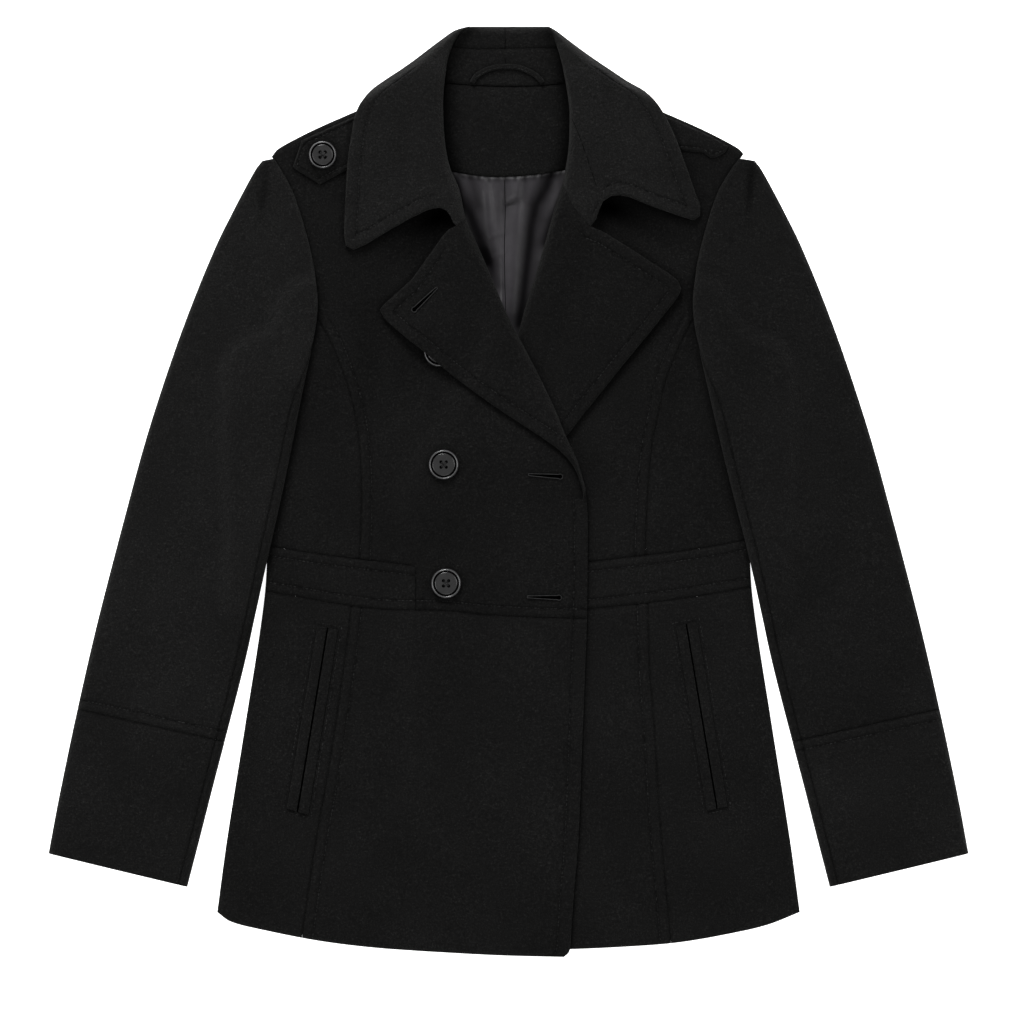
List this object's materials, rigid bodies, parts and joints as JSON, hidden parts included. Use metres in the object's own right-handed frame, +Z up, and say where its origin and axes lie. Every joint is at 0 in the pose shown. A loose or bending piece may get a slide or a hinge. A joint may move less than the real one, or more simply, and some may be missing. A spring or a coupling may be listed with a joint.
{
  "type": "pea coat laid flat",
  "caption": "Double-breasted wool pea coat laid flat, fronts overlapped and unbuttoned, with broad lapels, notched collar, epaulettes, waistband, slanted welt pockets and turned cuffs.",
  "frame": {"origin": "on the surface that the coat lies on, under the middle of its outline", "axes": "+Z up out of the surface through the layers, +Y along the coat to the collar, +X to the right as seen from above"},
  "size_m": [0.772, 0.781, 0.0258],
  "materials": {
    "wool": "brushed wool melton, black, soft nap",
    "lining": "satin, dark grey",
    "button": "polished, dark grey-black",
    "thread": "twisted sewing thread, near black"
  },
  "bodies": {
    "root": {"back_skirt": "wool", "back_waistband": "wool", "back_bodice": "wool", "side_front_left": "wool", "side_front_right": "wool", "centre_front_left": "wool", "centre_front_right": "wool", "waistband_left": "wool", "waistband_right": "wool", "skirt_side_left": "wool", "skirt_side_right": "wool", "skirt_front_left": "wool", "skirt_front_right": "wool", "lapel_left": "wool", "lapel_right": "wool", "collar_wing_left": "wool", "collar_wing_right": "wool", "collar_inside": "wool", "collar_stand": "wool", "collar_fall": "wool", "back_neck_facing": "wool", "back_lining": "lining", "hanger_loop": "wool", "epaulette_left": "wool", "epaulette_right": "wool", "sleeve_upper_left": "wool", "sleeve_upper_right": "wool", "sleeve_under_left": "wool", "sleeve_under_right": "wool", "cuff_left": "wool", "cuff_right": "wool", "welt_outer_left": "wool", "welt_inner_left": "wool", "welt_outer_right": "wool", "welt_inner_right": "wool", "button_top": "button", "button_middle": "button", "button_lower": "button", "button_epaulette": "button", "buttonhole_upper": "thread", "buttonhole_lower": "thread", "buttonhole_lapel": "thread"}
  },
  "joints": []
}
